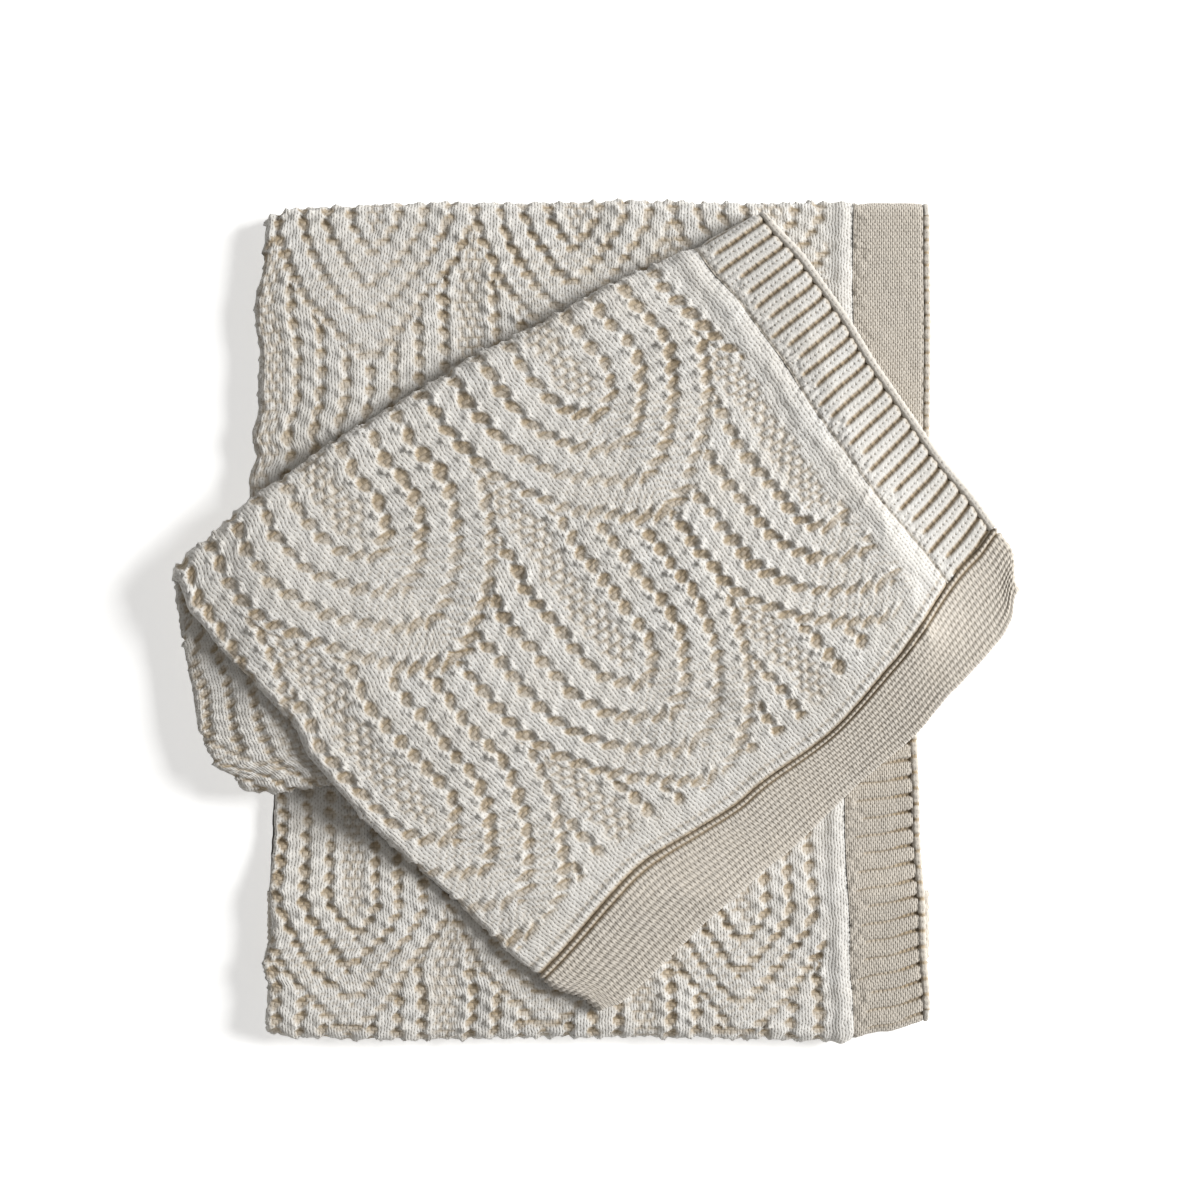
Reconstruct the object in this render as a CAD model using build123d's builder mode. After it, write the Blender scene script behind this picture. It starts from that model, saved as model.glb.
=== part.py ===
from build123d import *
import math
import os

os.makedirs("parts", exist_ok=True)

# Folded throw blanket, in millimetres. One knitted cloth with a ribbed border down each side
# and a garter band across each end. It is folded double lengthwise, with the long fold on the
# left and the two side borders on the right. The double strip then zigzags up into a stack:
# tucked end, bottom pass, middle pass, upper pass, and the flap that lies turned on the top.
# Origin: middle of the footprint, on the surface it rests on. +Z is up and +Y is the back.

# Cloth
layer = 4.4                      # one knitted layer, with its relief
gap = 0.4                        # air between passes, so that they can be lifted apart
pair = 2 * layer                 # a pass is the cloth lying double
step = pair + gap                # each pass lies this much above the one below
roll_radius = pair + gap / 2     # a fold that turns one pass over onto the next
soft_edge = 4.0                  # rounding of the long fold on the left

# Bands
border_width = 47.0              # ribbed side border
chain_width = 4.6                # bound-off chain along the outer edge of a border
end_width = 51.0                 # garter band across an end of the cloth

# Footprint of the stack
left, right = -227.0, 223.0
back, front = 284.0, -284.0
tucked_length = 100.0

# Corners of the turned passes
front_fold_left, front_fold_right = (-243.0, -118.0), (222.0, -10.0)
flap_left, flap_back = (-291.2, 34.0), (109.5, 278.0)
flap_right, flap_front = (293.0, 20.5), (-0.7, -269.3)

# The bottom pass steps up onto the tucked end, and the flap steps down past the front fold
ramp_back, ramp_front = -125.0, -181.0
flap_ramp = (6.0, 76.0)

reach = 700.0                    # past the footprint on every side, for the cuts


def lerp(p, q, share):
    return tuple(a + (b - a) * share for a, b in zip(p, q))


def direction(p, q):
    length = math.dist(p, q)
    return ((q[0] - p[0]) / length, (q[1] - p[1]) / length)


def crossing(p, q, r, s):
    """Where the line p-q meets the line r-s."""
    ux, uy = direction(p, q)
    vx, vy = direction(r, s)
    share = ((r[0] - p[0]) * vy - (r[1] - p[1]) * vx) / (ux * vy - uy * vx)
    return (p[0] + ux * share, p[1] + uy * share)


def set_in(quad, at_start, at_end):
    """A pass's outline with its first and last edges moved inwards by these distances."""
    start_left, start_right, end_right, end_left = quad
    edges = []
    for p, q, inward in ((start_left, start_right, at_start), (end_right, end_left, at_end)):
        ux, uy = direction(p, q)
        shift = (uy * inward, -ux * inward)
        if (end_left[0] - start_left[0]) * shift[0] + (end_left[1] - start_left[1]) * shift[1] < 0:
            shift = (-shift[0], -shift[1])
        if p == end_right:
            shift = (-shift[0], -shift[1])
        edges.append(((p[0] + shift[0], p[1] + shift[1]), (q[0] + shift[0], q[1] + shift[1])))
    first, last = edges
    return (
        crossing(*first, start_left, end_left),
        crossing(*first, start_right, end_right),
        crossing(*last, start_right, end_right),
        crossing(*last, start_left, end_left),
    )


def strip(quad, near, far):
    """The part of an outline between two shares of its width, from the long fold outwards."""
    start_left, start_right, end_right, end_left = quad
    return [
        lerp(start_left, start_right, near),
        lerp(start_left, start_right, far),
        lerp(end_left, end_right, far),
        lerp(end_left, end_right, near),
    ]


def save(part, label):
    part.label = label
    export_step(part, f"parts/{label}.step")


def cloth_layer(label, outline, course, low, thickness, soft_side=None):
    """A layer with this outline from above. Its underside follows the course, a plane and
    the (distance, height) points along it. One side may be rounded, as a long fold is."""
    plane, heights = course
    lower = [(far, low + height) for far, height in heights]
    upper = [(far, z + thickness) for far, z in reversed(lower)]
    with BuildPart() as cloth:
        with BuildSketch(plane):
            with BuildLine():
                Polyline(*lower, *upper, close=True)
            make_face()
        extrude(amount=reach, both=True)
        with BuildSketch(Plane.XY):
            with BuildLine():
                Polyline(*outline, close=True)
            make_face()
        extrude(amount=reach, mode=Mode.INTERSECT)
        if soft_side:
            x, y = soft_side
            side = cloth.faces().filter_by(Axis.Z, reverse=True).sort_by_distance((x, y, low + layer))[0]
            fillet(side.edges().filter_by(Axis.Z, reverse=True), soft_edge)
    save(cloth.part, label)


def fold_roll(label, near, far, outward, height):
    """Half a round bar along a fold, from near to far, where the cloth turns over."""
    along = direction(near, far)
    plane = Plane(origin=(*near, height), x_dir=(*outward, 0), z_dir=(*along, 0))
    with BuildPart() as roll:
        with BuildSketch(plane):
            Circle(roll_radius)
            Rectangle(
                roll_radius, 2 * roll_radius, align=(Align.MIN, Align.CENTER), mode=Mode.INTERSECT
            )
        extrude(amount=math.dist(near, far))
    save(roll.part, label)


def level_course():
    return (Plane.XZ, [(-reach, 0), (reach, 0)])


def bottom_course():
    # Looks along X: the distance is measured along +Y
    return (Plane.YZ, [(-reach, step), (ramp_front, step), (ramp_back, 0), (reach, 0)])


def flap_course():
    # Looks along the front fold: the distance is measured forwards from it
    ux, uy = direction(front_fold_left, front_fold_right)
    plane = Plane(origin=(*front_fold_left, 0), x_dir=(uy, -ux, 0), z_dir=(-ux, -uy, 0))
    return (plane, [(-reach, 0), (flap_ramp[0], 0), (flap_ramp[1], -step), (reach, -step)])


# Each pass: its outline from its first edge to its last, the level of its underside, its
# course, and how far each end stands back for the fold roll there.
passes = {
    "tucked": {
        "quad": (
            (left, front + tucked_length),
            (right, front + tucked_length),
            (right, front),
            (left, front),
        ),
        "low": 0.0, "course": level_course(), "set_in": (0.0, roll_radius),
    },
    "bottom": {
        "quad": ((left, front), (right, front), (right, back), (left, back)),
        "low": 0.0, "course": bottom_course(), "set_in": (roll_radius, roll_radius),
    },
    "middle": {
        "quad": ((left, back), (right, back), front_fold_right, front_fold_left),
        "low": step, "course": level_course(), "set_in": (roll_radius + gap, roll_radius),
    },
    "upper": {
        "quad": (front_fold_left, front_fold_right, flap_back, flap_left),
        "low": 2 * step, "course": level_course(), "set_in": (roll_radius, roll_radius),
    },
    "flap": {
        "quad": (flap_left, flap_back, flap_right, flap_front),
        "low": 3 * step, "course": flap_course(), "set_in": (roll_radius + gap, 0.0),
    },
}

strip_width = right - left
chain_from = 1 - chain_width / strip_width
border_from = chain_from - border_width / strip_width

for name, cloth in passes.items():
    run = set_in(cloth["quad"], *cloth["set_in"])
    body = run
    if name == "tucked":
        body = set_in(run, end_width, 0.0)
        band = (run[0], run[1], body[1], body[0])
        cloth_layer("tucked_end_band", band, cloth["course"], cloth["low"], pair)
    if name == "flap":
        body = set_in(run, 0.0, end_width)
        band = (body[3], body[2], run[2], run[3])
        cloth_layer("flap_end_band", band, cloth["course"], cloth["low"], pair)

    # The panel lies double, so its two layers and the long fold on the left are one solid
    long_fold = lerp(body[0], body[3], 0.5)
    panel = strip(body, 0.0, border_from)
    cloth_layer(f"{name}_panel", panel, cloth["course"], cloth["low"], pair, soft_side=long_fold)

    # The side borders are two, one on each layer, with a chain along each outer edge
    for side, lift in (("under", 0.0), ("top", layer)):
        low = cloth["low"] + lift
        border = strip(body, border_from, chain_from)
        chain = strip(body, chain_from, 1.0)
        cloth_layer(f"{name}_{side}_border", border, cloth["course"], low, layer)
        cloth_layer(f"{name}_{side}_chain", chain, cloth["course"], low, layer)

# Fold rolls, each split where the panel meets the borders
rolls = {
    "front_bottom_fold": ("bottom", 0, roll_radius),
    "back_fold": ("bottom", 1, roll_radius),
    "front_fold": ("upper", 0, 2 * step - gap / 2),
    "flap_fold": ("upper", 1, 3 * step - gap / 2),
}
for name, (owner, end, height) in rolls.items():
    run = set_in(passes[owner]["quad"], *passes[owner]["set_in"])
    near, far = (run[0], run[1]) if end == 0 else (run[3], run[2])
    turn = lerp(near, far, border_from)
    ux, uy = direction(near, far)
    outward = (uy, -ux) if end == 0 else (-uy, ux)
    fold_roll(f"{name}_panel", near, turn, outward, height)
    fold_roll(f"{name}_border", turn, far, outward, height)
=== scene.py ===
import bpy
import bmesh
import math
import numpy as np
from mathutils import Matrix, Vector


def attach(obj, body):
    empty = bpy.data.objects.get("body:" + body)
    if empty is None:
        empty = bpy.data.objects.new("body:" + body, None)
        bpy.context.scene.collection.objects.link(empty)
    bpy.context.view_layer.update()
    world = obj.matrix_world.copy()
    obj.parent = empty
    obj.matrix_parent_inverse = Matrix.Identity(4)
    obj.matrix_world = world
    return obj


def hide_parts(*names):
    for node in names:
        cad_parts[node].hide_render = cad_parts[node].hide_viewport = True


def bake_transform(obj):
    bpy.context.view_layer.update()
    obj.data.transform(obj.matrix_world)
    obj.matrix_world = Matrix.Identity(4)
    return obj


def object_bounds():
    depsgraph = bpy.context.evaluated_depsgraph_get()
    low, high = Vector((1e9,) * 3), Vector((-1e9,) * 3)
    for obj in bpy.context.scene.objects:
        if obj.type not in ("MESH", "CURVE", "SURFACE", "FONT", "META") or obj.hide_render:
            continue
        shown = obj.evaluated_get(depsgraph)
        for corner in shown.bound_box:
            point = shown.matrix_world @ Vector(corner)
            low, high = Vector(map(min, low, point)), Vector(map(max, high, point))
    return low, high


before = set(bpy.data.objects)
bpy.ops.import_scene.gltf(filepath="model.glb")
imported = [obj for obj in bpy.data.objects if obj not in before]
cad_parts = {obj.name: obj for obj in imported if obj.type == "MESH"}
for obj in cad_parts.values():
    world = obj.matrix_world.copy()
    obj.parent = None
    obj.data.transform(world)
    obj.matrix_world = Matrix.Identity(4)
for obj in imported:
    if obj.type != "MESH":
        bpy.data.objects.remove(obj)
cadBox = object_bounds()

# Lengths are in millimetres up to the point where a mesh is made
mm = 0.001
coarse = 1.0

# The cloth, lying double across the width of the stack
cloth = {
    "layer": 4.4,       # thickness of one knitted layer with its relief
    "air": 0.4,         # between one pass and the next
    "width": 450.0,     # from the long fold to the side border's outer edge
    "border": 47.0,     # ribbed side border
    "chain": 4.6,       # bound-off chain on the border's outer edge
    "band": 51.0,       # garter band across each end
    "roll": 9.0,        # how far the fold rolls stand out past the passes
}
layer, width = cloth["layer"], cloth["width"]
borderTo = width - cloth["chain"]
borderFrom = borderTo - cloth["border"]

# Where each fold wanders outwards from its straight line: (share from the long fold, distance)
frontBottomFold = [(0, -5), (0.05, -1), (0.2, 1), (0.5, -2), (0.75, 0), (0.86, 1.5), (0.93, -5), (1, -12)]
backFold = [(0, -7), (0.05, -2), (0.2, 1), (0.5, 2), (0.85, 1), (1, 1)]
frontFold = [(0, -2), (0.06, 4), (0.17, 9), (0.4, 6), (1, 0)]
flapFold = [(0, 0), (0.05, 6), (0.17, 14), (0.32, 18), (0.5, 17), (0.66, 13), (0.74, 12),
            (0.83, 6), (0.9, 1.5), (1, 0)]
straight = [(0, 0), (1, 0)]

# The passes from the bottom up. quad: start left, start right, end right, end left
passes = {
    "tucked": {
        "quad": [(-227, -184), (223, -184), (223, -284), (-227, -284)],
        "setIn": (0, cloth["roll"]), "band": "start",
        "left": straight, "right": straight, "start": straight, "end": frontBottomFold,
    },
    "bottom": {
        "quad": [(-227, -284), (223, -284), (223, 284), (-227, 284)],
        "setIn": (cloth["roll"], cloth["roll"]), "band": None,
        "left": [(0, 0), (0.04, -2), (0.07, 2), (0.12, -4), (0.17, -2), (0.24, -3), (0.3, -4),
                 (0.4, -1), (1, 0)],
        "right": [(0, 0), (0.1, -3), (0.25, -6), (0.38, -8), (0.6, -2), (1, 0)],
        "start": frontBottomFold, "end": backFold,
    },
    "middle": {
        "quad": [(-227, 284), (223, 284), (222, -10), (-243, -118)],
        "setIn": (cloth["roll"], cloth["roll"]), "band": None,
        "left": [(0, 0), (0.06, 1), (0.15, 5), (0.25, 0), (0.33, -1), (0.39, 3), (0.42, 0),
                 (0.46, 4), (0.6, 0), (1, 0)],
        "right": [(0, 0), (0.3, 0.8), (0.7, 0.5), (1, 0)],
        "start": backFold, "end": frontFold,
    },
    "upper": {
        "quad": [(-243, -118), (222, -10), (109.5, 278), (-291.2, 34)],
        "setIn": (cloth["roll"], cloth["roll"]), "band": None,
        "left": [(0, 0), (0.12, 12), (0.3, 14), (0.5, 9), (0.7, 7), (0.9, 3), (1, 0)],
        "right": straight, "start": frontFold, "end": flapFold,
    },
    "flap": {
        "quad": [(-291.2, 34), (109.5, 278), (293, 20.5), (-0.7, -269.3)],
        "setIn": (cloth["roll"], 0), "band": "end",
        "left": [(0, 0), (0.05, 8), (0.15, 10), (0.29, 9), (0.37, 17), (0.5, 20), (0.6, 18.5), (0.7, 15),
                 (0.8, 12.5), (0.9, 8), (0.97, 1), (1, 0)],
        "right": [(0, 0), (0.12, 4), (0.25, 4), (0.4, 1.5), (0.62, 1), (0.77, 4), (0.9, 4), (1, 0)],
        "start": flapFold,
        "end": [(0, 0), (0.11, 2), (0.23, 2), (0.34, 5), (0.44, 9), (0.56, 9), (0.7, 12), (0.79, 8.5),
                (0.95, 6), (1, 0)],
        "seamWave": [(0, 0), (0.21, -5), (0.43, 9), (0.6, 18), (0.74, 13), (0.93, 1), (1, 0)],
    },
}

# The flap's free corners are soft: how far each comes in, over which share of the way along and across
corner = {"length": 0.12, "left": 5.0, "leftWidth": 0.05, "right": 7.0, "rightWidth": 0.1}


def ease(x):
    x = np.clip(x, 0, 1)
    return x * x * (3 - 2 * x)


def bump(x, spread):
    # 1 where x is 0, and next to nothing at twice the spread
    return np.exp(-((x / spread) ** 2))


def rough(x, y, size, seed):
    # a smooth random field from -1 to 1 with features of this size, from a table that repeats
    repeat = 100
    table = np.random.default_rng(seed).uniform(-1, 1, (repeat + 1, repeat + 1))
    i, j = np.floor(x / size).astype(int), np.floor(y / size).astype(int)
    f, g = ease(x / size - i), ease(y / size - j)
    i, j = i % repeat, j % repeat
    near = table[i, j] * (1 - f) + table[i + 1, j] * f
    far = table[i, j + 1] * (1 - f) + table[i + 1, j + 1] * f
    return near * (1 - g) + far * g


def wander(profile, share):
    # eases from each (share, distance) point of a profile to the next
    at, out = np.array(profile, float).T
    k = np.clip(np.searchsorted(at, share, side="right") - 1, 0, len(at) - 2)
    return out[k] + (out[k + 1] - out[k]) * ease((share - at[k]) / (at[k + 1] - at[k]))


def crossing(p, q, r, s):
    # where the line p-q meets the line r-s
    u, v, w = q - p, s - r, r - p
    return p + u * (w[0] * v[1] - w[1] * v[0]) / (u[0] * v[1] - u[1] * v[0])


def readyPass(this):
    # a pass's outward directions, its outline between the fold rolls, and where its band begins
    startLeft, startRight, endRight, endLeft = [np.array(c, float) for c in this["quad"]]
    centre = (startLeft + startRight + endRight + endLeft) / 4

    def outwardOf(p, q):
        n = np.array((q[1] - p[1], p[0] - q[0])) / math.dist(p, q)
        return n if n @ (p - centre) > 0 else -n

    this["outward"] = {
        "left": outwardOf(startLeft, endLeft), "right": outwardOf(startRight, endRight),
        "start": outwardOf(startLeft, startRight), "end": outwardOf(endLeft, endRight),
    }

    def cut(edge, p, q, back):
        near = this["outward"][edge] * back
        line = (p - near, q - near)
        return crossing(*line, startLeft, endLeft), crossing(*line, startRight, endRight)

    startLeft, startRight = cut("start", startLeft, startRight, this["setIn"][0])
    endLeft, endRight = cut("end", endLeft, endRight, this["setIn"][1])
    this["run"] = (startLeft, startRight, endRight, endLeft)
    lengths = (math.dist(startLeft, endLeft), math.dist(startRight, endRight))
    this["length"] = sum(lengths) / 2
    borderLine = (borderFrom + borderTo) / 2 / width
    this["borderLength"] = lengths[0] + (lengths[1] - lengths[0]) * borderLine
    this["seam"] = (1.0, 1.0)
    if this["band"]:
        edge = (endLeft, endRight) if this["band"] == "end" else (startLeft, startRight)
        near, far = cut(this["band"], *edge, cloth["band"])
        this["seam"] = (
            math.dist(near, startLeft) / lengths[0],
            math.dist(far, startRight) / lengths[1],
        )


def planOf(this, s, t):
    # a point on a pass from its share across, off the long fold, and its share along
    startLeft, startRight, endRight, endLeft = this["run"]
    s, t = np.asarray(s, float)[:, None], np.asarray(t, float)[:, None]
    point = (1 - t) * ((1 - s) * startLeft + s * startRight) + t * ((1 - s) * endLeft + s * endRight)
    # what an edge wanders fades inwards, at a fold within a short way, so the bead columns stay straight
    parts = (("left", 1 - s, t), ("right", s, t), ("start", (1 - t) ** 3, s), ("end", t ** 5, s))
    for edge, weight, share in parts:
        point = point + this["outward"][edge] * wander(this[edge], share) * weight
    if this["band"] == "end":
        end, left, right = (this["outward"][edge] for edge in ("end", "left", "right"))
        near = ease((t - (1 - corner["length"])) / corner["length"])
        rightmost = ease((s - (1 - corner["rightWidth"])) / corner["rightWidth"])
        leftmost = ease((corner["leftWidth"] - s) / corner["leftWidth"])
        point = point - (end + right) * corner["right"] * near * rightmost
        point = point - (end + left) * corner["left"] * near * leftmost
    return point


def seamAt(this, s):
    # the share along the pass where its panel and borders meet the garter band
    near, far = this["seam"]
    wave = wander(this["seamWave"], s) / this["length"] if "seamWave" in this else 0
    return near + (far - near) * s + wave


def panelShare(this, seam, v):
    # v goes from 0 to 1 over the part of the pass that is not garter band
    return seam + (1 - seam) * v if this["band"] == "start" else seam * v


for this in passes.values():
    readyPass(this)

# Draping: each pass settles on the heap below it, on a grid of heights
drape = {
    "cell": 5.0,      # grid spacing
    "reach": 340.0,   # half the size of the grid
    "sag": 0.04,      # how limp the cloth is: what a cell hangs below its neighbours
    "rounds": 700,
    "droop": 3.0,     # the furthest that a fold roll hangs below its own level
    "limp": 0.12,     # and how much further for each millimetre from the flap's fold
    "most": 13.0,     # but never more than this
    "skirt": 8,       # how many cells past its edge a pass's heights are carried
}
# The flap steps down over this much of its length, from this far before the front fold
flapStep = {"before": 24.0, "over": 130.0}
axis = np.arange(-drape["reach"], drape["reach"] + 1, drape["cell"])
gridX, gridY = np.meshgrid(axis, axis, indexing="ij")


def insideOutline(outline):
    inside = np.zeros(gridX.shape, bool)
    for (x0, y0), (x1, y1) in zip(outline, np.roll(outline, -1, axis=0)):
        if y0 != y1:
            level = (gridY > min(y0, y1)) & (gridY <= max(y0, y1))
            inside ^= level & (gridX < x0 + (gridY - y0) / (y1 - y0) * (x1 - x0))
    return inside


def aroundSum(z):
    return sum(np.roll(z, shift, way) for way in (0, 1) for shift in (-1, 1))


def sample(heights, x, y):
    # a height between the grid's points
    i, j = (x + drape["reach"]) / drape["cell"], (y + drape["reach"]) / drape["cell"]
    i0 = np.clip(i.astype(int), 0, len(axis) - 2)
    j0 = np.clip(j.astype(int), 0, len(axis) - 2)
    f, g = i - i0, j - j0
    low = heights[i0, j0] * (1 - f) + heights[i0 + 1, j0] * f
    high = heights[i0, j0 + 1] * (1 - f) + heights[i0 + 1, j0 + 1] * f
    return low * (1 - g) + high * g


def distanceFrom(line, x, y):
    # inwards from a fold's line: (point on it, outward direction)
    point, outward = line
    return -((x - point[0]) * outward[0] + (y - point[1]) * outward[1])


flapLine = (passes["flap"]["quad"][0], passes["flap"]["outward"]["start"])
frontLine = (passes["upper"]["quad"][0], passes["upper"]["outward"]["start"])
fromFlapFold = distanceFrom(flapLine, gridX, gridY)
pastFrontFold = -distanceFrom(frontLine, gridX, gridY)
step = 2 * layer + cloth["air"]
heap = np.full(gridX.shape, -cloth["air"])
ring = np.linspace(0, 1, 41)[:-1]
for index, (name, this) in enumerate(passes.items()):
    past = [back / this["length"] for back in this["setIn"]]
    along = -past[0] + (1 + sum(past)) * ring
    outline = np.concatenate([
        planOf(this, ring, 0 * ring - past[0]),
        planOf(this, 0 * ring + 1, along),
        planOf(this, 1 - ring, 0 * ring + 1 + past[1]),
        planOf(this, 0 * ring, 1 - along),
    ])
    inside = insideOutline(outline)
    rest = heap + cloth["air"]
    if name in ("upper", "flap"):
        stepped = step * ease((pastFrontFold + flapStep["before"]) / flapStep["over"])
        level = (index - 1) * step - (name == "flap") * stepped
        give = drape["droop"] + drape["limp"] * np.maximum(fromFlapFold, 0)
        give = np.clip(give, 0, drape["most"])
        rest = np.maximum(rest, level - give)
    z = rest.copy()
    count = np.maximum(aroundSum(inside.astype(float)), 1)
    for _ in range(drape["rounds"]):
        z = np.where(inside, np.maximum(rest, aroundSum(z * inside) / count - drape["sag"]), z)
    known = inside.copy()
    for _ in range(drape["skirt"]):
        count = aroundSum(known.astype(float))
        new = ~known & (count > 0)
        z = np.where(new, aroundSum(z * known) / np.maximum(count, 1), z)
        known |= new
    this["under"] = z
    heap = np.where(inside, z + 2 * layer, heap)
    low, high = float(z[inside].min()), float(z[inside].max())
    print("draped", name, "from", round(low, 1), "to", round(high, 1))


# Knitting. Bead columns run along the cloth in nested garlands, on a stockinette ground.
def garlandCentres(x, y, across, down):
    # rows of garlands set over by half, from the one at x, y
    return [(x + across * (n + m % 2 / 2), y + down * m) for n in range(-3, 4) for m in range(-4, 5)]


flapKnit = {
    "wale": 5.25,       # width of a stitch
    "course": 2.9,      # and its height
    "column": 21.0,     # from one bead column to the next
    "arc": 25.8,        # the same, round the foot of a garland
    "bead": 11.8,       # from one bead to the next in its column
    "channel": 5.2,     # half the width of a bead
    "lean": 3.0,        # how far it slants across its column
    "depth": 0.85,      # how deep it lies
    "pebble": 1.7,      # and how far the stitches beside it stand up
    "point": 1.55,      # 2 is a round foot, 1 a pointed one
    "plain": 18.0,      # strip with no pattern next to the side border
    "centres": garlandCentres(115, 43, 168, 158),
}
baseKnit = {  # the same pattern, smaller, on the passes below
    "wale": 4.17, "course": 3.1,
    "column": 16.7, "arc": 21.5, "bead": 11.0,
    "channel": 4.6, "lean": 2.4, "depth": 0.9, "pebble": 1.6, "point": 1.25, "plain": 15.0,
    "centres": garlandCentres(75, 9.5, 133.6, 165),
}
bottomKnit = dict(baseKnit, centres=garlandCentres(323, 476, 133.6, 165))
passes["flap"]["knit"] = flapKnit
passes["middle"]["knit"] = baseKnit
for name in ("tucked", "bottom", "upper"):
    passes[name]["knit"] = bottomKnit
pattern = {
    "rows": 4,          # bead columns round each garland
    "edge": 4.25,       # columns from a garland's middle to where the next one shows
    "outside": 9.0,     # stands for no garland here
    "diamond": 1.3,     # outline of a bead: 1 is a diamond, 2 an oval
    "soft": 0.5,        # how gently it falls away at that outline
    "shallow": 0.2,     # how much less relief there is round the foot
    "fine": 0.7,        # depth of the fine rows between the columns there
    "fineRow": 5.6,     # their spacing
    "leaf": 0.62,       # size of the moss stitch in a garland's middle, in columns
    "moss": 1.5,        # height of its knots
    "swell": 0.35,      # how far the cloth stands up between two columns
}


def garland(a, b, knit):
    # columns from the middle of the garland that lies uppermost here, and the way along its beads
    distance, way = np.full(a.shape, pattern["outside"]), b.copy()
    for x, y in sorted(knit["centres"], key=lambda c: -c[1]):
        dx, dy = np.abs(a - x) / knit["column"], (b - y) / knit["arc"]
        far = (dx ** knit["point"] + np.maximum(dy, 0) ** knit["point"]) ** (1 / knit["point"])
        turn = np.arctan2(np.maximum(dy, 0), np.maximum(dx, 1e-6))
        round_ = y + turn * far * (knit["column"] + knit["arc"]) / 2
        hit = far < pattern["edge"]
        distance = np.where(hit, far, distance)
        way = np.where(hit, np.where(dy > 0, round_, b), way)
    return distance, way


def undulate(a, b):
    # the lie of a cloth that has been handled
    return 1.1 * rough(a, b, 62, 11) + 0.7 * rough(a, b, 27, 12)


def lumps(a, b):
    # hand of the yarn: no two stitches are pulled alike
    return 0.28 * rough(a, b, 3.1, 15) + 0.35 * rough(a, b, 4.8, 13) + 0.35 * rough(a, b, 9.5, 14)


def beads(a, b, knit):
    # (height, share of purl, and past 1 painted shade) of the garland pattern
    a = a + 2.4 * rough(a, b, 48, 1) + 0.9 * rough(a, b, 13, 2)
    b = b + 3.0 * rough(a, b, 55, 3) + 1.2 * rough(a, b, 12, 4)
    distance, way = garland(a, b, knit)
    ring = np.round(distance)
    off = (distance - ring) * knit["column"]
    foot = ease((way - b) / 8)  # round the foot of a garland the beads are shallower, in finer rows
    strength = (1 - pattern["shallow"] * foot) * (0.95 + 0.3 * rough(a, b, 34, 5))
    strength = strength * (ring > 0) * (ring < pattern["rows"] + 1)
    place = way / knit["bead"] + 0.37 * ring
    place = place - np.round(place)  # from one bead to the next, -0.5 to 0.5
    off = off + knit["lean"] * place * (1 - foot)
    power = pattern["diamond"]
    outline = (np.abs(off) / knit["channel"]) ** power + (np.abs(place) / 0.5) ** power
    pit = ease((1.15 - outline + 0.3 * rough(a, b, 5, 9)) / pattern["soft"])
    paintedRimShade = pit * bump(place + 0.2, 0.1)  # painted shade where a bead starts under an overhanging course
    beside = bump(np.abs(off) - 0.85 * knit["channel"], 1.8)
    pebble = beside * ease((np.abs(place) - 0.12) / 0.25)
    pebble = pebble * (1 - 0.3 * np.sign(off)) * (1 + 0.4 * rough(a, b, 3.4, 10))
    rows = np.cos(2 * math.pi * (way / pattern["fineRow"] + ring))
    fine = np.cos(4 * math.pi * (distance - ring)) * rows
    fine = foot * ease(0.2 + 1.2 * fine) * ease((np.abs(off) - 3) / 3)

    # the middle of a garland is coarse moss stitch, set over from row to row
    x, y = a + 1.2 * rough(a, b, 8, 41), b + 1.2 * rough(a, b, 8, 42)
    row = np.floor(y / (2 * knit["course"]))
    moss = np.sin(math.pi * (x / (1.6 * knit["wale"]) + 0.5 * row)) ** 2
    moss = (moss * np.sin(math.pi * y / (2 * knit["course"])) ** 2) ** 0.5
    leaf = ease((pattern["leaf"] - distance + 0.16 * rough(a, b, 7, 43)) / 0.3)
    swell = -pattern["swell"] * np.cos(2 * math.pi * (distance - ring))
    sunk = pit * (1 - 1.2 * place)  # deeper towards the course that hangs over it
    relief = knit["pebble"] * pebble - knit["depth"] * sunk - pattern["fine"] * fine
    height = strength * relief + swell
    height = height * (1 - leaf) + leaf * (pattern["moss"] * moss - 0.9)
    # purl colour in the pits, and past 1 painted shade at their upper rims
    tint = strength * (0.85 * pit + 0.8 * paintedRimShade - 0.4 * pebble + 0.5 * fine)
    purl = tint * (1 - leaf) + leaf * 1.3 * (0.62 - moss)
    return height, np.clip(purl, 0, 1.5)


# The plain cloth next to the bands, the purl row and the crease where they meet, with painted shade in
# the crease
seamLook = {
    "plain": 17.0,      # strip with no pattern next to the garter band
    "puff": 1.3,        # how far the plain strip by the border stands up
    "gather": 1.1,      # how far the linking puckers it
    "groove": 1.1,      # depth of the line where the border joins
    "row": 4.2,         # from the garter band to the purl row
    "lowRow": 7.3,      # and to the low row behind it
    "crease": 1.9,      # depth of the crease at the garter band
}


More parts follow.
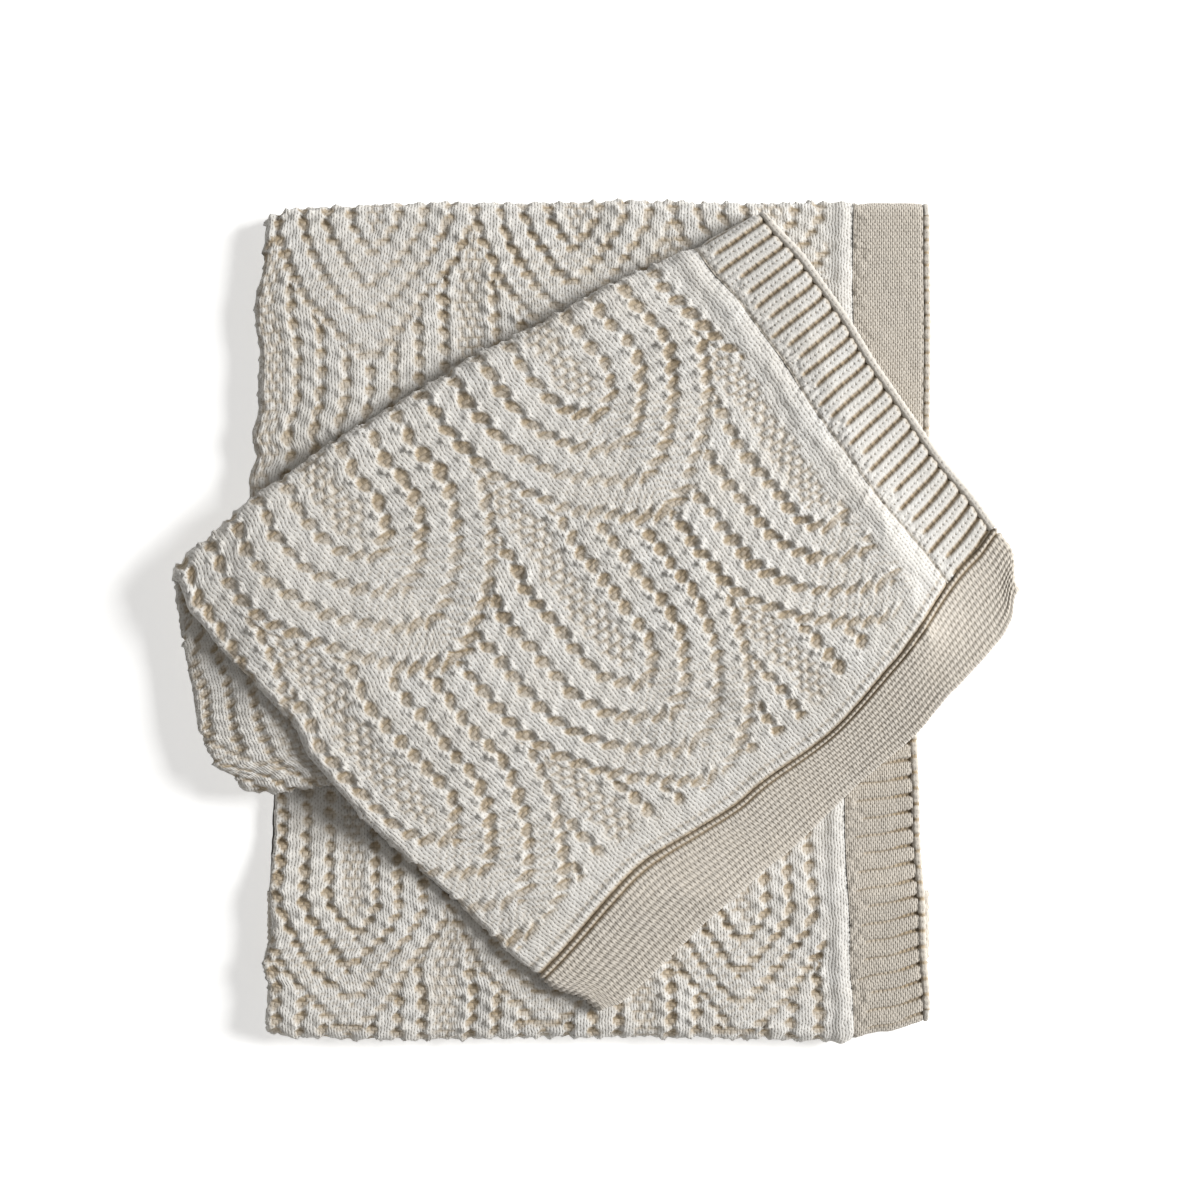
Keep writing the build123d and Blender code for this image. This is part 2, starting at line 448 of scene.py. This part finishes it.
def panelRelief(this, a, b, toSeam):
    # toSeam is how far the garter band is; the ground next to it and to the border is plain
    knit = this["knit"]
    height, purl = beads(a, b, knit)
    ground = ease((borderFrom - knit["plain"] - a + 2 * rough(a, b, 9, 6)) / 5)
    ground = ground * ease((toSeam - seamLook["plain"]) / 5)
    height, purl = height * ground + lumps(a, b), purl * ground
    middle = 0.55 * knit["plain"]
    puff = bump(a - borderFrom + middle, 0.6 * middle) * (1 + 0.35 * rough(a, b, 8, 7))
    toBorder = borderFrom - a
    gather = rough(a, b * 2.4, 4, 8) * bump(toBorder, 7)
    height = height + seamLook["puff"] * puff + seamLook["gather"] * gather
    height = height - seamLook["groove"] * bump(toBorder, 1.6)
    purlRow = bump(toSeam - seamLook["row"], 1.3)
    crease = bump(toSeam, 1.5)
    wales = np.sin(2 * math.pi * a / knit["wale"])
    height = height + purlRow * (0.7 + 0.5 * wales) - seamLook["crease"] * crease
    lower = 0.7 * bump(toSeam - seamLook["lowRow"], 1.2) * (0.6 - 0.4 * wales)
    # the crease at the garter band gets painted shade, purl past 1; the low row takes a share of the purl
    # colour
    return height - lower, np.clip(purl + 1.4 * crease + lower, 0, 1.6)


# Side borders. seed is the share of seed stitch in place of ribs
ribs = {
    "flap": {"pitch": 12.45, "slant": 0.12, "groove": 1.5, "depth": 2.2, "edge": 0.3, "seed": 0.0},
    "middle": {"pitch": 12.0, "slant": 0.0, "groove": 1.2, "depth": 0.1, "edge": 0.5, "seed": 0.5},
    "bottom": {"pitch": 12.0, "slant": 0.06, "groove": 1.4, "depth": 1.2, "edge": 1.6, "seed": 0.5},
}
ribs["upper"], ribs["tucked"] = ribs["bottom"], ribs["bottom"]
ribEnds = {
    "start": 5.0,       # from the seam to where the ribs begin, and how far that differs
    "differ": (3.5, 1.5),
    "outer": 17.0,      # how near the chain the grooves deepen again
    "depth": 1.2,       # of the two lines where the border ends
}


def ribRelief(a, b, rib):
    # ribs across the border; each starts at its own place along the seam
    phase = (b + rib["slant"] * (a - borderFrom) + 0.5 * rough(a, b, 15, 21)) / rib["pitch"]
    number = np.round(phase)
    off = np.abs(phase - number) * rib["pitch"]
    groove = bump(off, rib["groove"])
    wide, fine = ribEnds["differ"]
    start = borderFrom + ribEnds["start"] + wide * np.sin(number * 2.4) + fine * np.sin(number * 5.1)
    grown = ease((a - start) / 6)
    outer = ease((a - borderTo + ribEnds["outer"]) / 14)
    depth = rib["depth"] * grown + rib["edge"] * outer
    dome = 0.7 * (1 - (1 - 2 * off / rib["pitch"]) ** 2) * grown * (1 - 1.4 * rib["seed"])
    ends = bump(a - borderTo, 1.7) + 0.8 * bump(a - borderFrom, 1.8)
    fuzz = 0.9 * rough(a, b * 2.4, 4, 8) * (1 - grown) + 0.5 * lumps(a, b)
    # grooves get the purl colour and, past 1, painted shade where they are deep; painted shade also along
    # the two lines where the border ends
    tint = 1.6 * groove * np.clip(depth / 2, 0, 1) + 0.7 * ends * (1 - rib["seed"])
    height = dome - depth * groove - ribEnds["depth"] * ends * (1 - rib["seed"]) + fuzz
    return height, np.clip(np.maximum(tint, rib["seed"]), 0, 1.7)


def ribMap(a, b, rib):
    # one wale to a rib, or rows of seed stitch along the border
    if rib["seed"]:
        return a / 3.0, b / 2.5
    return (b + rib["slant"] * (a - borderFrom)) / rib["pitch"] + 0.5, a / 3.3


garter = {
    "ridge": 4.35,      # from one ridge to the next
    "stitch": 3.5,      # from one knot to the next along a ridge
    "height": 1.4,
    "crease": 2.2,      # depth of the crease at the seam
    "second": 1.9,      # and of the next one
}


def garterRelief(a, fromSeam):
    # ridges along the band, with a deep crease and two fine ridges next to the seam
    ridge = (fromSeam + 0.35 * rough(a, fromSeam, 16, 31)) / garter["ridge"]
    row = np.abs(np.sin(math.pi * ridge))
    knot = 0.5 + 0.5 * np.sin(2 * math.pi * a / garter["stitch"] + math.pi * np.floor(ridge))
    first = bump(fromSeam, 1.4)
    second = bump(fromSeam - garter["ridge"], 0.9)
    height = garter["height"] * row ** 0.8 * (0.7 + 0.3 * knot)
    height = height - garter["crease"] * first - garter["second"] * second + 0.4 * lumps(a, fromSeam)
    # half purl colour over the band; the crease at the seam and the next one get painted shade, purl past
    # 1
    return height, 0.5 + first + second


# Materials
def linear(hexColour):
    # sRGB hex to the linear colour that a shader takes
    parts = [int(hexColour[k:k + 2], 16) / 255 for k in (0, 2, 4)]
    return tuple(c / 12.92 if c <= 0.04045 else ((c + 0.055) / 1.055) ** 2.4 for c in parts) + (1.0,)


def addNode(tree, kind, inputs=None, **settings):
    node = tree.nodes.new(kind)
    for key, value in settings.items():
        setattr(node, key, value)
    for key, value in (inputs or {}).items():
        if isinstance(value, bpy.types.NodeSocket):
            tree.links.new(value, node.inputs[key])
        else:
            node.inputs[key].default_value = value
    return node


def calc(tree, operation, *values):
    node = addNode(tree, "ShaderNodeMath", dict(enumerate(values)), operation=operation)
    return node.outputs[0]


def hump(tree, x):
    # 0 at both ends of a stitch and 1 in its middle
    y = calc(tree, "MULTIPLY_ADD", x, 2.0, -1.0)
    return calc(tree, "MULTIPLY_ADD", y, calc(tree, "MULTIPLY", y, -1.0), 1.0)


def mixColour(tree, share, a, b):
    node = addNode(tree, "ShaderNodeMix", {0: share, 6: a, 7: b}, data_type="RGBA")
    return node.outputs[2]


def yarnMaterial(name, look):
    # stitches are laid out on the piece's own map, one unit to a stitch each way
    material = bpy.data.materials.new(name)
    material.use_nodes = True
    tree = material.node_tree
    tree.nodes.clear()
    onMap = addNode(tree, "ShaderNodeUVMap", uv_map="knit").outputs[0]
    inSpace = addNode(tree, "ShaderNodeTexCoord").outputs["Object"]
    uneven = addNode(tree, "ShaderNodeTexNoise", {"Vector": onMap, "Scale": 0.45, "Detail": 1.0})
    shift = calc(tree, "MULTIPLY_ADD", uneven.outputs[0], look["uneven"], -look["uneven"] / 2)
    along = addNode(tree, "ShaderNodeSeparateXYZ", {0: onMap})
    u = calc(tree, "ADD", along.outputs[0], shift)
    v = calc(tree, "ADD", along.outputs[1], calc(tree, "MULTIPLY", shift, 1.7))

    # stockinette: two slanting legs to each wale
    side = calc(tree, "ABSOLUTE", calc(tree, "SUBTRACT", calc(tree, "FRACT", u), 0.5))
    leg = hump(tree, calc(tree, "FRACT", calc(tree, "MULTIPLY", side, 2.0)))
    stitch = hump(tree, calc(tree, "FRACT", calc(tree, "MULTIPLY_ADD", side, look["slant"], v)))
    shadedHollow = calc(tree, "MULTIPLY", calc(tree, "SUBTRACT", 1.0, leg), calc(tree, "SUBTRACT", 1.0, stitch))
    legs = calc(tree, "MULTIPLY_ADD", leg, 0.35, 0.65)
    plain = calc(tree, "SUBTRACT", legs, calc(tree, "MULTIPLY", shadedHollow, 0.8))

    # purl: one knot to a stitch, set over by half from row to row
    row = calc(tree, "FLOOR", v)
    knotU = calc(tree, "FRACT", calc(tree, "MULTIPLY_ADD", row, 0.5, u))
    knot = calc(tree, "MULTIPLY", hump(tree, knotU), hump(tree, calc(tree, "FRACT", v)))
    purl = addNode(tree, "ShaderNodeAttribute", attribute_name="purl").outputs["Fac"]
    mixed = addNode(tree, "ShaderNodeMix", {0: purl, 2: plain, 3: knot}).outputs[0]

    fibre = addNode(tree, "ShaderNodeTexNoise", {"Vector": inSpace, "Scale": 900.0, "Detail": 3.0})
    patchy = addNode(tree, "ShaderNodeTexNoise", {"Vector": inSpace, "Scale": 42.0, "Detail": 4.0})
    raised = calc(tree, "MULTIPLY_ADD", fibre.outputs[0], 0.8, calc(tree, "SUBTRACT", mixed, 0.25))

    # the strands' colour where they stand up, and painted shade, a dark tan, in the hollows between them
    lit = calc(tree, "SMOOTH_MIN", calc(tree, "MULTIPLY", raised, look["open"]), 1.0, 0.2)
    # purl above 1 is painted shade: it darkens the strands in creases, rib grooves, bead rims and the
    # gaps between a chain's scallops
    crease = calc(tree, "MAXIMUM", calc(tree, "SUBTRACT", purl, 1.0), 0.0)
    lit = calc(tree, "MULTIPLY", lit, calc(tree, "SUBTRACT", 1.0, crease))
    share = calc(tree, "MULTIPLY", purl, look["purlShare"])
    strand = mixColour(tree, share, linear(look["light"]), linear(look["purl"]))
    colour = mixColour(tree, lit, linear(look["shadedHollow"]), strand)
    heather = calc(tree, "MULTIPLY_ADD", patchy.outputs[0], 0.5, -0.05)
    colour = mixColour(tree, heather, colour, linear(look["heather"]))
    surface = addNode(tree, "ShaderNodeBump", {
        "Height": raised, "Distance": look["relief"] * mm, "Strength": 0.85,
    })
    shader = addNode(tree, "ShaderNodeBsdfPrincipled", {
        "Base Color": colour, "Roughness": 0.95, "Specular IOR Level": 0.15,
        "Sheen Weight": 0.25, "Sheen Roughness": 0.6, "Normal": surface.outputs[0],
    })
    out = addNode(tree, "ShaderNodeOutputMaterial")
    tree.links.new(shader.outputs[0], out.inputs[0])
    return material


yarn = {
    "light": "D2D1CE",    # undyed cotton
    "purl": "A39073",     # the same in the bead columns, where it is in its own shade
    "shadedHollow": "7D6B50",   # painted shade between the strands
    "heather": "C9BFAE",  # in patches
    "uneven": 0.7,        # how far the stitches stray, in stitches
    "slant": 1.2,         # how steep their legs are
    "purlShare": 0.85,    # how much of the purl colour shows
    "open": 1.4,          # the more, the less painted shade shows between the strands
    "relief": 0.55,       # depth of the strands
}
materials = {
    "panel_knit": yarnMaterial("undyed_cotton_knit", yarn),
    "rib_border": yarnMaterial("undyed_cotton_ribbing", dict(yarn, uneven=0.25, relief=0.9)),
    "garter_band": yarnMaterial("undyed_cotton_garter", dict(yarn, uneven=0.3, purlShare=0.75)),
    "edge_chain": yarnMaterial("undyed_cotton_bind_off", dict(yarn, uneven=0.2, relief=0.6, open=2.4)),
}


# Pieces
def unitGrid(name, across, along, cell):
    # a flat grid from 0 to 1 each way, fine enough for this many millimetres of cloth
    bm = bmesh.new()
    columns, rows = [max(2, round(size / (cell * coarse))) for size in (across, along)]
    bmesh.ops.create_grid(bm, x_segments=columns, y_segments=rows, size=0.5)
    mesh = bpy.data.meshes.new(name)
    bm.to_mesh(mesh)
    bm.free()
    piece = bpy.data.objects.new(name, mesh)
    bpy.context.collection.objects.link(piece)
    co = np.empty(len(mesh.vertices) * 3)
    mesh.vertices.foreach_get("co", co)
    u, v, _ = co.reshape(-1, 3).T + 0.5
    return piece, u, v


def shapePiece(piece, points, normals, purl, onMap, slot):
    mesh = piece.data
    mesh.vertices.foreach_set("co", (points * mm).ravel())
    corners = np.empty(len(mesh.loops), int)
    mesh.loops.foreach_get("vertex_index", corners)
    mesh.uv_layers.new(name="knit").uv.foreach_set("vector", np.stack(onMap, 1)[corners].ravel())
    mesh.attributes.new("purl", "FLOAT", "POINT").data.foreach_set("value", purl)
    mesh.update()
    facing = np.empty(len(mesh.polygons) * 3)
    mesh.polygons.foreach_get("normal", facing)
    if (facing.reshape(-1, 3) * normals[corners[::4]]).sum() < 0:
        mesh.flip_normals()
    mesh.shade_smooth()
    mesh.materials.append(materials[slot])


lip = layer / 2  # radius of a free edge


def curl(room):
    # bends the last of a layer over its own edge; room is what is left up to the edge
    turn = np.clip((math.pi * lip - room) / lip, 0, math.pi)
    return np.where(turn > 0, lip * (1 - np.sin(turn)), room - edgeExtra), turn


# more cloth than width, where a layer goes round the long fold and where it curls over its own edge
foldExtra = layer * (math.pi / 2 - 1)
edgeExtra = lip * (math.pi - 1)


def longFold(a):
    # bends the first of a layer round the long fold: (plan distance, turn)
    turn = np.clip((a + foldExtra) / layer, 0, math.pi / 2)
    return np.where(a < layer, layer * (1 - np.cos(turn)), a), turn


def passFace(this, face, a, t, toEnd=None):
    # points and normals on the top or the underside of a pass; a band gives toEnd, not t
    up = 1 if face == "top" else -1
    across, wrap = longFold(a)
    sideTurn = endTurn = np.zeros(a.shape)
    if toEnd is not None:
        flat, sideTurn = curl(width + edgeExtra - a)
        across = np.where(a > width / 2, width - flat, across)
        flat, endTurn = curl(toEnd)
        seam = seamAt(this, across / width)
        share = flat / cloth["band"]
        t = 1 - share * (1 - seam) if this["band"] == "end" else share * seam
    plan = planOf(this, across / width, t)
    rise = np.sin(wrap) * (0.5 + 0.5 * np.cos(sideTurn)) * (0.5 + 0.5 * np.cos(endTurn))
    z = sample(this["under"], *plan.T) + layer * (1 + up * rise)
    facing = np.zeros((len(a), 3))
    facing[:, :2] += np.cos(wrap)[:, None] * this["outward"]["left"]
    facing[:, :2] += np.sin(sideTurn)[:, None] * this["outward"]["right"]
    if toEnd is not None:
        facing[:, :2] += np.sin(endTurn)[:, None] * this["outward"][this["band"]]
    facing[:, 2] = up * np.sin(wrap) * np.cos(sideTurn) * np.cos(endTurn)
    facing /= np.maximum(np.linalg.norm(facing, axis=1), 1e-6)[:, None]
    return np.column_stack([plan, z]), facing


def alongOf(this, t):
    # knitting is counted from the fold, and the bottom pass is knitted towards the front
    b = t * this["length"] + this["setIn"][0]
    whole = this["length"] + sum(this["setIn"])
    return whole - b if this is passes["bottom"] else b


# Chains: radius, how deep and how long their scallops are, and the spacing of the mesh
chainLooks = {
    ("flap", "top"): {"radius": 3.0, "scallop": 0.06, "pitch": 6.0, "cell": 0.8},
    ("middle", "top"): {"radius": 2.5, "scallop": 0.35, "pitch": 8.5, "cell": 0.9},
    ("bottom", "top"): {"radius": 2.7, "scallop": 0.3, "pitch": 10.8, "cell": 0.9},
    "hidden": {"radius": 2.2, "scallop": 0.12, "pitch": 6.0, "cell": 1.6},
}


def layChain(name, line, look, steady=(0.0, 0.0, 1.0)):
    # a round edge along a line of points, which never runs the way that steady points
    ahead = np.gradient(line, axis=0)
    steps = np.linalg.norm(np.diff(line, axis=0), axis=1)
    way = np.concatenate([[0], np.cumsum(steps)])
    piece, u, v = unitGrid(name, way[-1], 2 * math.pi * look["radius"], look["cell"])
    at = u * way[-1]
    centre = np.stack([np.interp(at, way, line[:, k]) for k in range(3)], 1)
    tangent = np.stack([np.interp(at, way, ahead[:, k]) for k in range(3)], 1)
    tangent /= np.linalg.norm(tangent, axis=1)[:, None]
    across = np.cross(tangent, steady)
    across /= np.linalg.norm(across, axis=1)[:, None]
    upward = np.cross(across, tangent)
    angle = 2 * math.pi * v
    facing = across * np.cos(angle)[:, None] + upward * np.sin(angle)[:, None]
    twist = 0.08 * np.cos(2 * math.pi * at / 5.0 - angle)
    scallops = np.abs(np.sin(math.pi * at / look["pitch"]))
    radius = look["radius"] * (1 + twist + look["scallop"] * (scallops - 0.6))
    points = centre + facing * radius[:, None]
    # the gaps between a chain's scallops get painted shade, purl past 1; the scallops keep part of the
    # purl colour, smooth chains a little
    purl = np.clip(1.5 - 2 * scallops, 0.45, 1.4)
    purl = purl if look["scallop"] > 0.2 else 0.3 + 0 * purl
    shapePiece(piece, points, facing, purl, (2 * v, at / 4.0), "edge_chain")
    bm = bmesh.new()
    bm.from_mesh(piece.data)
    bmesh.ops.remove_doubles(bm, verts=bm.verts, dist=0.01 * mm)  # closes the tube
    bm.to_mesh(piece.data)
    bm.free()
    return piece


bodyOf = {
    "tucked": "lower_layers", "bottom": "lower_layers",
    "middle": "upper_layers", "upper": "upper_layers",
    "flap": "flap",
}
# spacing of the panels' meshes, on the top and on the underside: what is seen is finer
cells = {
    "tucked": (2.6, 3.0),
    "bottom": (1.6, 2.6),
    "middle": (1.5, 3.0),
    "upper": (1.8, 2.6),
    "flap": (1.35, 2.0),
}
bandCells = {"seen": 0.85, "hidden": 2.0}
seen = ("bottom", "middle", "flap")
noSeam = 99.0     # stands for no garter band anywhere near


def carry(piece, name):
    # attaches a piece to the body of its pass; a flap piece only has its transform baked in, and no body
    # carries it
    if name != "flap":
        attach(piece, bodyOf[name])
        return
    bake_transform(piece)


def layPanel(name, face):
    # lays one layer of a pass's panel, and gives its length in metres
    this = passes[name]
    cell = cells[name][face == "under"]
    piece, u, v = unitGrid(f"{name}_panel_{face}", borderFrom, this["length"], cell)
    a = u * (borderFrom + foldExtra) - foldExtra
    seam = seamAt(this, np.maximum(a, 0) / width)
    t = panelShare(this, seam, v)
    points, facing = passFace(this, face, a, t)
    b = alongOf(this, t)
    toSeam = np.abs(t - seam) * this["length"] if this["band"] else np.full(a.shape, noSeam)
    height, purl = panelRelief(this, a, b, toSeam)
    height = height + undulate(a, b) * (face == "top")
    points += facing * height[:, None]
    onMap = (a / this["knit"]["wale"], b / this["knit"]["course"])
    shapePiece(piece, points, facing, purl, onMap, "panel_knit")
    carry(piece, name)
    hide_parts(f"{name}_panel")
    share = float(1 - seam.mean() if this["band"] == "start" else seam.mean())
    length = this["length"] * share * mm
    return length


def layBorder(name, face):
    # lays the side border of that layer, and the chain along its edge
    this = passes[name]
    cell = bandCells["seen" if name in seen and face == "top" else "hidden"]
    piece, u, v = unitGrid(f"{name}_{face}_border_knit", cloth["border"], this["length"], cell)
    a = borderFrom + u * cloth["border"]
    t = panelShare(this, seamAt(this, a / width), v)
    points, facing = passFace(this, face, a, t)
    b = alongOf(this, t)
    rib = ribs[name]
    height, purl = ribRelief(a, b, rib)
    points += facing * height[:, None]
    shapePiece(piece, points, facing, purl, ribMap(a, b, rib), "rib_border")
    carry(piece, name)
    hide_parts(f"{name}_{face}_border")

    edge = borderTo + cloth["chain"] / 2
    t = np.linspace(0, 1, 200)
    t = panelShare(this, seamAt(this, 0 * t + edge / width), t)
    line, _ = passFace(this, face, 0 * t + edge, t)
    line[:, 2] -= lip if face == "top" else -lip
    look = chainLooks.get((name, face), chainLooks["hidden"])
    chain = layChain(f"{name}_{face}_chain_knit", line, look)
    carry(chain, name)
    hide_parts(f"{name}_{face}_chain")


def layBand(name, face):
    # lays the garter band across the end of that layer
    this = passes[name]
    cell = bandCells["seen" if name == "flap" and face == "top" else "hidden"]
    piece, u, v = unitGrid(f"{name}_end_band_{face}", width, cloth["band"], cell)
    a = u * (width + foldExtra + edgeExtra) - foldExtra
    fromSeam = (cloth["band"] + edgeExtra) * v
    toEnd = cloth["band"] + edgeExtra - fromSeam
    points, facing = passFace(this, face, a, None, toEnd)
    height, purl = garterRelief(a, fromSeam)
    points += facing * height[:, None]
    onMap = (a / garter["stitch"], fromSeam / garter["ridge"])
    shapePiece(piece, points, facing, purl, onMap, "garter_band")
    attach(piece, bodyOf[name])
    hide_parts(f"{name}_end_band")


for name in passes:
    for face in ("top", "under"):
        length = layPanel(name, face)
        layBorder(name, face)
        if passes[name]["band"]:
            layBand(name, face)
    print("laid", name)

# Fold rolls, where one pass turns over onto the next
folds = {
    "front_bottom_fold": {"from": "tucked", "to": "bottom", "bodies": ("lower_layers",), "cell": 2.0},
    "back_fold": {
        "from": "bottom", "to": "middle", "bodies": ("lower_layers", "upper_layers"),
        "bend": (3.0, 15.0),  # two heights, in millimetres
        "cell": 1.4,
    },
    "front_fold": {"from": "middle", "to": "upper", "bodies": ("upper_layers",), "cell": 2.0},
    "flap_fold": {"from": "upper", "to": "flap", "bodies": ("upper_layers",), "cell": 1.4},
}


def rollFace(fold, a, turn, depth=0.0):
    # points and normals; turn goes from the underside of the lower pass to the top of the upper one
    lower, upper = passes[fold["from"]], passes[fold["to"]]
    side = np.where(a + foldExtra < 0, -1, 1)  # -1 on the inside of the long fold
    across, wrap = longFold(np.abs(a + foldExtra) - foldExtra)
    share = across / width
    p = planOf(lower, share, 0 * a + 1)
    q = planOf(upper, share, 0 * a)
    low = sample(lower["under"], *p.T)
    high = sample(upper["under"], *q.T) + 2 * layer
    reach = (high - low) / 2
    radius = reach - layer + side * layer * np.sin(wrap) - depth
    outward = lower["outward"]["end"]
    plan = p + (q - p) * (turn / math.pi)[:, None]
    plan = plan + outward * (np.sin(turn) * radius / reach * cloth["roll"])[:, None]
    z = (low + high) / 2 - np.cos(turn) * radius
    facing = np.zeros((len(a), 3))
    facing[:, :2] = outward * (np.sin(turn) * np.sin(wrap) * side)[:, None]
    facing[:, :2] += lower["outward"]["left"] * np.cos(wrap)[:, None]
    facing[:, 2] = -np.cos(turn) * np.sin(wrap) * side
    return np.column_stack([plan, z]), facing


def joinFold(piece, fold):
    # a fold roll in one body is attached to it; one between two bodies only has its transform baked in
    if len(fold["bodies"]) == 1:
        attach(piece, fold["bodies"][0])
        return
    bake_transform(piece)


def layFold(name):
    fold = dict(folds[name], name=name)
    upper = passes[fold["to"]]
    inner = layer * math.pi / 2 + foldExtra  # the long fold goes on round its inside
    arc = math.pi * cloth["roll"]

    piece, u, v = unitGrid(f"{name}_panel_knit", borderFrom + inner, arc, fold["cell"])
    a = u * (borderFrom + inner) - inner
    points, facing = rollFace(fold, a, v * math.pi)
    b = alongOf(upper, (v - 1) * arc / upper["length"])
    height, purl = panelRelief(upper, np.abs(a), b, np.full(a.shape, noSeam))
    height = height + undulate(np.abs(a), b) * ease(v) * (a > 0)
    points += facing * height[:, None]
    onMap = (a / upper["knit"]["wale"], b / upper["knit"]["course"])
    shapePiece(piece, points, facing, purl, onMap, "panel_knit")
    joinFold(piece, fold)
    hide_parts(f"{name}_panel")

    piece, u, v = unitGrid(f"{name}_border_knit", cloth["border"], arc, fold["cell"])
    a = borderFrom + u * cloth["border"]
    points, facing = rollFace(fold, a, v * math.pi)
    b = alongOf(upper, (v - 1) * arc / upper["length"])
    rib = ribs[fold["to"]]
    height, purl = ribRelief(a, b, rib)
    points += facing * height[:, None]
    shapePiece(piece, points, facing, purl, ribMap(a, b, rib), "rib_border")
    joinFold(piece, fold)
    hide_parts(f"{name}_border")

    outward = passes[fold["from"]]["outward"]["end"]
    steady = (-outward[1], outward[0], 0.0)
    turn = np.linspace(0, math.pi, 40)
    edge = 0 * turn + borderTo + cloth["chain"] / 2
    for which, depth in (("outer", lip), ("inner", 3 * lip)):
        line, _ = rollFace(fold, edge, turn, depth)
        chain = layChain(f"{name}_{which}_chain_knit", line, chainLooks["hidden"], steady)
        joinFold(chain, fold)
    print("rolled", name)


for name in folds:
    layFold(name)

# Light: a broad low window on the right, and an even sky. Lengths here are in metres
studio = {
    "azimuth": 14, "elevation": 30,  # of the window, in degrees from the right and from level
    "distance": 5.0, "size": 2.0,
    "power": 385,
    "sky": 0.28,
    "backlight": 0.45,               # glow of the paper
    "paper": 6.0,                    # size of the sheet
    "gap": 0.003,                    # room under the CAD box for the relief of the lowest layer
}
shot = {"lens": 79.4, "sensor": 36, "place": (-0.0007, 0.015, 1.812)}

# Floor: white paper, faintly lit from below
bm = bmesh.new()
bmesh.ops.create_grid(bm, x_segments=1, y_segments=1, size=studio["paper"])
floorMesh = bpy.data.meshes.new("floor")
bm.to_mesh(floorMesh)
bm.free()
floor = bpy.data.objects.new("floor", floorMesh)
bpy.context.collection.objects.link(floor)
floor.location.z = cadBox[0].z - studio["gap"]
paper = bpy.data.materials.new("white_studio_paper")
paper.use_nodes = True
paperLook = paper.node_tree.nodes["Principled BSDF"].inputs
paperLook["Base Color"].default_value = linear("F6F6F5")
paperLook["Roughness"].default_value = 0.9
paperLook["Emission Color"].default_value = linear("FFFFFF")
paperLook["Emission Strength"].default_value = studio["backlight"]
floorMesh.materials.append(paper)

scene = bpy.context.scene
scene.world = bpy.data.worlds.new("studio")
scene.world.use_nodes = True
sky = scene.world.node_tree.nodes["Background"]
sky.inputs["Color"].default_value = linear("FFFCF8")
sky.inputs["Strength"].default_value = studio["sky"]
window = bpy.data.lights.new("window", "AREA")
window.energy, window.size = studio["power"], studio["size"]
lamp = bpy.data.objects.new("window", window)
bpy.context.collection.objects.link(lamp)
azimuth, elevation = math.radians(studio["azimuth"]), math.radians(studio["elevation"])
lamp.location = (
    studio["distance"] * math.cos(elevation) * math.cos(azimuth),
    studio["distance"] * math.cos(elevation) * math.sin(azimuth),
    studio["distance"] * math.sin(elevation),
)
lamp.rotation_euler = (-lamp.location).to_track_quat("-Z", "Y").to_euler()
scene.view_settings.view_transform = "Standard"
print("lit from azimuth", studio["azimuth"], "elevation", studio["elevation"])

# Camera straight above
camera = bpy.data.cameras.new("camera")
camera.lens, camera.sensor_width = shot["lens"], shot["sensor"]
view = bpy.data.objects.new("camera", camera)
bpy.context.collection.objects.link(view)
view.location = shot["place"]
scene.camera = view
